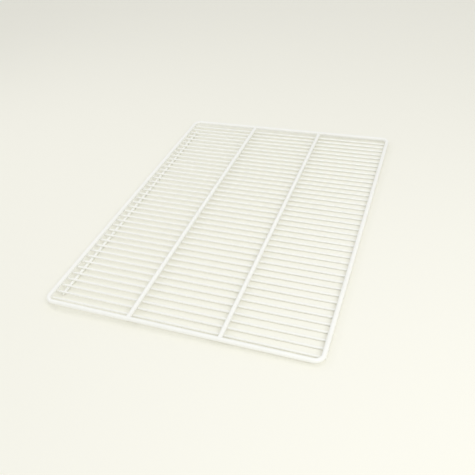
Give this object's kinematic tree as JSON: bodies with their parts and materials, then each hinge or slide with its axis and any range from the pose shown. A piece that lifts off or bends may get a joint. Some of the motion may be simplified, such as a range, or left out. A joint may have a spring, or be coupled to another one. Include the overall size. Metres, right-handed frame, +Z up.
{
  "type": "refrigerator shelf",
  "caption": "Flat welded wire shelf: a rounded rectangular frame and lengthwise supports across closely spaced grid wires, with a low stop rail along one long edge.",
  "frame": {"origin": "bottom centre of the shelf's box, on the plane under the stop rail", "axes": "+X along the grid wires, away from the stop rail; +Y along the long sides; +Z up, from the grid to the frame, as the shelf lies in the picture"},
  "size_m": [0.457, 0.627, 0.0156],
  "materials": {
    "white_coat": "smooth semi-gloss white plastic coat on steel wire"
  },
  "bodies": {
    "root": {"outer_frame": "white_coat", "left_support": "white_coat", "right_support": "white_coat", "stop_rail": "white_coat", "grid_wire_01": "white_coat", "grid_wire_02": "white_coat", "grid_wire_03": "white_coat", "grid_wire_04": "white_coat", "grid_wire_05": "white_coat", "grid_wire_06": "white_coat", "grid_wire_07": "white_coat", "grid_wire_08": "white_coat", "grid_wire_09": "white_coat", "grid_wire_10": "white_coat", "grid_wire_11": "white_coat", "grid_wire_12": "white_coat", "grid_wire_13": "white_coat", "grid_wire_14": "white_coat", "grid_wire_15": "white_coat", "grid_wire_16": "white_coat", "grid_wire_17": "white_coat", "grid_wire_18": "white_coat", "grid_wire_19": "white_coat", "grid_wire_20": "white_coat", "grid_wire_21": "white_coat", "grid_wire_22": "white_coat", "grid_wire_23": "white_coat", "grid_wire_24": "white_coat", "grid_wire_25": "white_coat", "grid_wire_26": "white_coat", "grid_wire_27": "white_coat", "grid_wire_28": "white_coat", "grid_wire_29": "white_coat", "grid_wire_30": "white_coat", "grid_wire_31": "white_coat", "grid_wire_32": "white_coat", "grid_wire_33": "white_coat", "grid_wire_34": "white_coat", "grid_wire_35": "white_coat", "grid_wire_36": "white_coat", "grid_wire_37": "white_coat", "grid_wire_38": "white_coat", "grid_wire_39": "white_coat", "grid_wire_40": "white_coat"}
  },
  "joints": []
}
